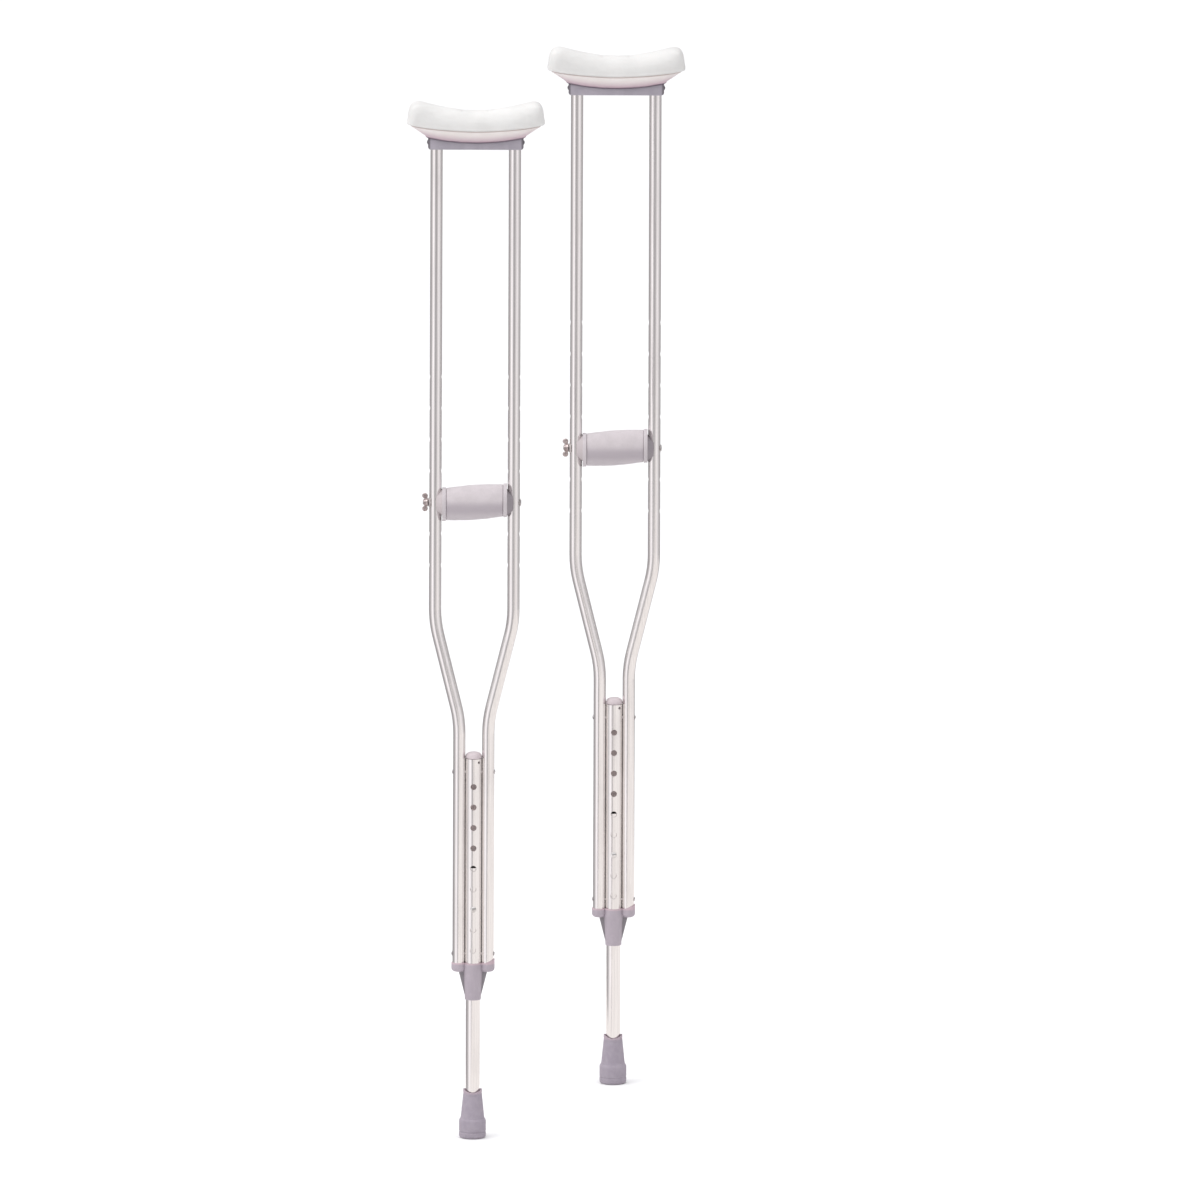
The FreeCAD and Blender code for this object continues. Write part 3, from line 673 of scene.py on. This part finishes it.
def foam_mesh():
    """Barrel-shaped sleeve that droops towards the nut, with soft rolled ends and slight dents."""
    stations, around = 84, 128
    verts = []
    for k in range(stations + 1):
        x = GRIP_HALF * math.sin((k / stations - 0.5) * math.pi)
        radius = GRIP_END_R + GRIP_BELLY * (1 - (x / (GRIP_HALF + 6)) ** 2)
        near = max(0.0, (abs(x) - (GRIP_HALF - GRIP_ROLL)) / GRIP_ROLL)
        radius -= GRIP_ROLL * (1 - math.sqrt(max(0.0, 1 - near**2)))
        lift = GRIP_Z + x * math.tan(GRIP_TILT)
        calm = 1 - (x / GRIP_HALF) ** 6
        for angle in circle(around):
            at = Vector((x * 0.045, math.cos(angle) * 1.1, math.sin(angle) * 1.1))
            r = radius + calm * (0.45 * noise.noise(at) + 0.16 * noise.noise(at * 3.1) - 0.12)
            verts.append((x, r * math.cos(angle), lift + r * math.sin(angle)))
    for x in (GRIP_HALF, -GRIP_HALF):
        for angle in circle(around):
            verts.append((x, GRIP_BORE_R * math.cos(angle), GRIP_Z + GRIP_BORE_R * math.sin(angle)))
    rings = [list(range(first, first + around)) for first in range(0, len(verts), around)]
    faces = []
    for low, high in zip(rings, rings[1:] + rings[:1]):
        faces += band(low, high)
    return smooth(make_mesh("foam", verts, faces), 50)


def thread_radius(x, angle):
    """Radius of the rolled thread at a place on the shank. It fades out over its last pitch."""
    turn = (x / BOLT_PITCH - angle / (2 * math.pi)) % 1.0
    crest = 1 - abs(2 * turn - 1)
    depth = THREAD_DEPTH * min(1.0, max(0.0, (THREAD_END_X - x) / BOLT_PITCH))
    return THREAD_R - depth * (1 - min(1.0, crest * 1.15))


def bolt_mesh():
    """Handle bolt: chamfered end, rolled thread, plain shank and a low domed head."""
    around, per_pitch, dome_steps = 64, 8, 9
    step = BOLT_PITCH / per_pitch
    thread_x = BOLT_TIP_X + 0.8
    edge_x = BOLT_SEAT_X + BOLT_HEAD_EDGE
    verts, rings = [], []

    def ring(x, radius_at):
        rings.append(list(range(len(verts), len(verts) + around)))
        for angle in circle(around):
            r = radius_at(angle)
            verts.append((x, r * math.cos(angle), GRIP_Z + r * math.sin(angle)))

    for x, radius in ((BOLT_TIP_X, 2.35), (BOLT_TIP_X + 0.5, 2.75)):
        ring(x, lambda angle: radius)
    for k in range(int((THREAD_END_X - thread_x) / step) + 1):
        x = thread_x + k * step
        grow = min(1.0, 0.88 + k * 0.02)
        ring(x, lambda angle: thread_radius(x, angle) * grow)
    for x, radius in (
        (THREAD_END_X + 0.6, SHANK_R),
        (0.0, SHANK_R),
        (BOLT_SEAT_X - 0.3, SHANK_R),
        (BOLT_SEAT_X, SHANK_R + 0.25),
        (BOLT_SEAT_X, BOLT_HEAD_R - 0.3),
        (edge_x, BOLT_HEAD_R),
    ):
        ring(x, lambda angle: radius)
    for k in range(1, dome_steps):
        lean = math.pi / 2 * k / dome_steps
        radius = BOLT_HEAD_R * math.cos(lean) ** 0.85
        ring(edge_x + BOLT_HEAD_DOME * math.sin(lean), lambda angle: radius)
    faces = []
    for low, high in zip(rings, rings[1:]):
        faces += band(low, high)
    faces.append(list(reversed(rings[0])))
    faces.append(rings[-1])
    return smooth(make_mesh("bolt", verts, faces), 38)


def ball(centre, radii):
    steps = 16
    angles = [math.pi * k / steps for k in range(1, steps)]
    outline = [(-math.cos(angle), math.sin(angle)) for angle in angles]
    mesh = lathe("ball", [(-1.0, 0.0)] + outline + [(1.0, 0.0)], 32)
    mesh.transform(Matrix.Translation(centre) @ Matrix.Diagonal((*radii, 1)))
    return mesh


def strut(start, end, start_radii, end_radii):
    """An oval bar between two points in the X-Z plane: radii are across the plane and across Y."""
    along = Vector(end) - Vector(start)
    across = Vector((-along.z, 0, along.x)).normalized()
    verts, around = [], 24
    for point, (wide, thick) in ((start, start_radii), (end, end_radii)):
        for angle in circle(around):
            sideways = across * wide * math.cos(angle)
            verts.append(Vector(point) + sideways + Vector((0, thick * math.sin(angle), 0)))
    low, high = list(range(around)), list(range(around, 2 * around))
    return make_mesh("strut", verts, band(low, high) + [low, high])


def wing_nut_mesh():
    """Forged wing nut: flanged hub with two round wings, every junction run together."""
    hub = [
        (0.0, NUT_BORE_R), (0.0, NUT_BASE_R), (1.1, NUT_BASE_R), (1.9, 4.6),
        (NUT_LENGTH, NUT_NOSE_R), (NUT_LENGTH, NUT_BORE_R),
    ]
    turned = lathe("hub", filleted(hub, 0.5), 64)
    face = Matrix.Translation((NUT_FACE_X, 0, GRIP_Z))
    turned.transform(face @ Matrix.Rotation(-math.pi / 2, 4, "Y"))
    parts = [turned]
    for side in (-1, 1):
        lobe = (WING_X, 0, GRIP_Z + side * WING_REACH)
        root = (NUT_FACE_X - 2.0, 0, GRIP_Z + side * 4.0)
        parts.append(strut(root, lobe, (2.1, 1.15), (2.5, 1.1)))
        parts.append(ball(lobe, (3.85, 1.25, 3.75)))
        parts.append(ball(lobe, (3.3, 1.45, 3.2)))
    return smooth(remeshed(joined("wing_nut", parts), 0.28, 7))


def place_spring(which):
    """The folded strip behind the button, placed on no body, with its place baked into its mesh."""
    mesh = softened(which + "_button_spring", SPRING_EDGE)
    piece = place(
        which, "folded_spring", mesh, None, "button_spring", BUTTON, in_mm=False)
    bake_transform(piece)


for name, mesh, body, node, slot, material in (
    ("dome_plug", plug_mesh(), "frame", "centre_tube_plug", "plug_plastic", PLUG),
    ("ferrule", tip_mesh(), "leg", "rubber_tip", "tip_rubber", RUBBER),
    ("threaded_bolt", bolt_mesh(), "handle", "handle_bolt", "bolt_steel", BOLT),
    ("winged_nut", wing_nut_mesh(), "nut", "wing_nut", "bolt_steel", FASTENER),
):
    for which in CRUTCHES:
        place(which, name, mesh, body, node, material)

for name, node, body, slot, material, width in (
    ("moulded_yoke", "collar", "frame", "grey_plastic", COLLAR, 0.6),
    ("moulded_cradle", "pad_holder", "frame", "grey_plastic", HOLDER, 0.9),
    ("cup_nut_side", "end_cup_nut_side", "handle", "cup_plastic", CUP, 0.6),
    ("cup_head_side", "end_cup_head_side", "handle", "cup_plastic", CUP, 0.6),
    ("curved_washer", "saddle_washer", "washer", "bolt_steel", WASHER, 0.25),
):
    for which in CRUTCHES:
        mesh = softened(which + "_" + node, width)
        place(which, name, mesh, body, node, material, in_mm=False)

for which in CRUTCHES:
    place_spring(which)

shared_sleeve = foam_mesh()
for which in CRUTCHES:
    sleeve = place(which, "foam_sleeve", shared_sleeve, "handle", "grip_foam", FOAM)


# ---------------------------------------------------------------- underarm pad

def pad_outline():
    """Closed outline of the pad in X-Z, inside the space that the pad swells into."""
    steps, top_reach = 36, 76.0
    top = []
    for k in range(steps + 1):
        x = top_reach * math.sin((k / steps * 2 - 1) * math.pi / 2)
        top.append((x, arc_height(x, PAD_TOP_HALF, PAD_TOP_END_Z, PAD_TOP_MIDDLE_Z)))
    end = [
        (81.2, 1417.5), (86.4, 1415.2), (89.8, 1410.0), (91.3, 1403.0), (91.9, 1396.0), (92.4, 1390.2),
        (89.6, 1387.3),
    ]
    under = [(x, belly_height(x)) for x in (84.0, 78.0, 71.0)]
    low = []
    for k in range(steps + 1):
        x = HOLDER_HALF * math.cos(k / steps * math.pi)
        low.append((x, belly_height(x)))
    right = end + under
    left = [(-x, z) for x, z in reversed(right)]
    return top + right + low + left


def pad_form():
    """Rounded extrusion of the outline along Y: full at the middle, drawn in at both faces."""
    outline = [Vector((x, z)) for x, z in pad_outline()]
    count = len(outline)
    inward = []
    for i, point in enumerate(outline):
        along = outline[(i + 1) % count] - outline[i - 1]
        inward.append(Vector((along.y, -along.x)).normalized())
    half, edge, edge_steps = PAD_HALF_DEPTH - PAD_SLACK, PAD_EDGE, 7
    ys = [-half + edge * (1 - math.cos(math.pi / 2 * k / edge_steps)) for k in range(edge_steps + 1)]
    ys += [-half + edge + (half - edge) * k / 3 for k in (1, 2, 3)]
    ys += [-y for y in reversed(ys[:-1])]
    verts = []
    for y in ys:
        near = max(0.0, (abs(y) - (half - edge)) / edge)
        drawn = 0.5 + edge * 0.92 * (1 - math.sqrt(max(0.0, 1 - near**2))) + 0.5 * (y / half) ** 2
        for point, normal in zip(outline, inward):
            moved = point + normal * drawn
            verts.append((moved.x, y, moved.y))
    rings = [list(range(first, first + count)) for first in range(0, len(verts), count)]
    faces = []
    for low, high in zip(rings, rings[1:]):
        faces += band(low, high)
    faces += [rings[0], rings[-1]]
    return make_mesh("pad_form", verts, faces)


def swollen(start, cap):
    """The mesh after its skin is blown up a little as cloth. No point moves further than cap."""
    start.transform(Matrix.Scale(MM, 4))
    obj = bpy.data.objects.new("pad_cloth", start)
    bpy.context.scene.collection.objects.link(obj)
    rest = [v.co.copy() for v in start.vertices]
    cloth = obj.modifiers.new("Cloth", "CLOTH")
    for key, value in CLOTH.items():
        setattr(cloth.settings, key, value)
    cloth.settings.effector_weights.gravity = 0
    cloth.point_cache.frame_start, cloth.point_cache.frame_end = 1, CLOTH_FRAMES
    scene = bpy.context.scene
    for number in range(1, CLOTH_FRAMES + 1):
        scene.frame_set(number)
    graph = bpy.context.evaluated_depsgraph_get()
    blown = bpy.data.meshes.new_from_object(obj.evaluated_get(graph))
    bpy.data.objects.remove(obj)
    scene.frame_set(1)
    for vertex, was in zip(blown.vertices, rest):
        step = vertex.co - was
        if step.length > cap * MM:
            vertex.co = was + step.normalized() * cap * MM
    blown.transform(Matrix.Scale(1 / MM, 4))
    return blown


def settled(mesh):
    """Lays the pad's belly on the holder, and keeps the pad in the space that it has."""
    gap, reach = 0.15, 3.0
    for vertex in mesh.vertices:
        x, y, z = vertex.co
        x = max(-PAD_HALF, min(PAD_HALF, x))
        y = max(-PAD_HALF_DEPTH, min(PAD_HALF_DEPTH, y))
        over_holder = abs(x) < HOLDER_HALF + 3 and abs(y) < HOLDER_HALF_DEPTH + 2
        if over_holder and z < belly_height(x) + reach:
            z = belly_height(x) + gap
        vertex.co = (x, y, z)
    return mesh


def seamed(mesh):
    """Presses the parting seam into the skin, with a thin lip above it."""
    mesh.update()
    normals = [v.normal.copy() for v in mesh.vertices]
    for vertex, normal in zip(mesh.vertices, normals):
        if abs(normal.z) > 0.93:
            continue
        over = vertex.co.z - seam_height(vertex.co.x)
        lip = 0.65 * math.exp(-((over - 2.0) / 1.1) ** 2)
        groove = 0.9 * math.exp(-((over + 0.2) / 0.95) ** 2)
        flare = 1.5 * abs(normal.x) * math.exp(-((over - 2.0) / 3.2) ** 2)
        vertex.co += normal * (lip - groove + flare)
    return mesh


def pad_mesh():
    shape = remeshed(pad_form(), PAD_VOXEL, 2)
    shape = swollen(shape, PAD_SWELL)
    shape = evaluated(settled(shape), ("SUBSURF", {"levels": 2, "render_levels": 2}))
    return smooth(seamed(settled(shape)))


shared_pad = pad_mesh()
for which in CRUTCHES:
    pad = place(which, "saddle_pad", shared_pad, "frame", "underarm_pad", SKIN)


# ---------------------------------------------------------------- floor, light and camera

# Brightness of what the tubes reflect, by degrees round the horizon from the camera's side towards +X.
PANELS = (
    (-180, 0.45), (-135, 0.40), (-96, 0.47), (-76, 0.74), (-58, 1.18), (-38, 1.08), (-16, 0.46),
    (8, 0.45), (28, 0.78), (46, 1.00), (66, 0.90), (92, 0.56), (125, 0.45), (180, 0.45),
)
WALLS = ((-180, 0.55), (-120, 0.80), (-60, 0.95), (-20, 0.60), (30, 0.42), (100, 0.38), (180, 0.55))
PANEL_TINT, WALL_TINT = (1.0, 0.97, 0.99), (1.0, 0.99, 1.0)
CEILING = (1.45, 1.45, 1.47)
FLOOR_HALF = 40.0
CAMERA_AIM, CAMERA_WIDTH, CAMERA_DISTANCE = Vector((0.0745, 0.0, 0.698)), 1.608, 8.0     # metres
CAMERA_ELEVATION, CAMERA_ROLL = math.radians(12), math.radians(0.2)


def laid_sheet(name, look, low, high, z, **fixed):
    """A plain flat rectangle of the set, in metres. An underscore in a setting stands for a space."""
    corners = (low, (high[0], low[1]), high, (low[0], high[1]))
    mesh = make_mesh(name, [(x, y, 0) for x, y in corners], [(0, 1, 2, 3)])
    material = bpy.data.materials.new(look)
    material.use_nodes = True
    for key, value in fixed.items():
        shader = material.node_tree.nodes["Principled BSDF"]
        shader.inputs[key.replace("_", " ")].default_value = value
    mesh.materials.append(material)
    sheet = bpy.data.objects.new(name, mesh)
    sheet.location.z = z
    bpy.context.scene.collection.objects.link(sheet)
    return sheet


def make_floor():
    floor = laid_sheet(
        "floor", "pale_floor", (-FLOOR_HALF, -FLOOR_HALF), (FLOOR_HALF, FLOOR_HALF), -0.0005,
        Base_Color=(0.88, 0.88, 0.88, 1), Roughness=0.9, Specular_IOR_Level=0.1)
    floor.visible_glossy = False


def make_card():
    """A white card under the floor that only the shiny pieces see, in the lower tubes."""
    card = laid_sheet(
        "card", "card_white", (-0.35, -3.2), (2.8, 1.4), -0.002,
        Base_Color=(0, 0, 0, 1), Emission_Color=(1.0, 0.955, 0.935, 1), Emission_Strength=0.92)
    card.visible_camera = False
    card.visible_diffuse = False
    card.visible_shadow = False


def make_world():
    """A studio with a bright ceiling, and tall soft panels that the tubes reflect."""
    world = bpy.data.worlds.new("studio")
    n = Nodes(world, "Background", "Generated")
    turn = n.maths("ARCTAN2", n.axis("X"), n.product(n.axis("Y"), -1))
    share = n.maths("MULTIPLY_ADD", turn, 1 / (2 * math.pi), 0.5)
    height = n.axis("Z")
    panels = n.ramp(share, PANELS, PANEL_TINT)
    walls = n.ramp(share, WALLS, WALL_TINT)
    level = n.mixed(n.ranged(height, -0.02, 0.12, 0, 1), panels, walls)
    whole = n.mixed(n.ranged(height, 0.30, 0.80, 0, 1), level, CEILING)
    n.link(whole, n.shader.inputs["Color"])
    bpy.context.scene.world = world


def make_light(name, place_at, towards, size, energy):
    data = bpy.data.lights.new(name, "AREA")
    data.shape = "RECTANGLE"
    data.size, data.size_y = size
    data.energy = energy
    light = bpy.data.objects.new(name, data)
    light.location = place_at
    light.rotation_euler = (Vector(towards) - Vector(place_at)).to_track_quat("-Z", "Y").to_euler()
    bpy.context.scene.collection.objects.link(light)


def make_camera():
    """A long lens from slightly above, square on to the crutches' broad side."""
    data = bpy.data.cameras.new("camera")
    data.type = "ORTHO"
    data.ortho_scale = CAMERA_WIDTH
    data.clip_end = 100
    camera = bpy.data.objects.new("camera", data)
    back = Vector((0, -math.cos(CAMERA_ELEVATION), math.sin(CAMERA_ELEVATION)))
    camera.location = CAMERA_AIM + back * CAMERA_DISTANCE
    level = Matrix.Rotation(math.radians(90) - CAMERA_ELEVATION, 3, "X")
    camera.rotation_euler = (level @ Matrix.Rotation(CAMERA_ROLL, 3, "Z")).to_euler()
    bpy.context.scene.collection.objects.link(camera)
    bpy.context.scene.camera = camera


make_floor()
make_card()
make_world()
make_light("key", (-2.6, -1.2, 4.0), (0, 0, 0.8), (2.6, 2.6), 50)
make_light("fill", (3.0, -2.0, 3.0), (0, 0, 0.8), (2.4, 2.4), 8)
make_camera()
bpy.context.scene.view_settings.view_transform = "Standard"
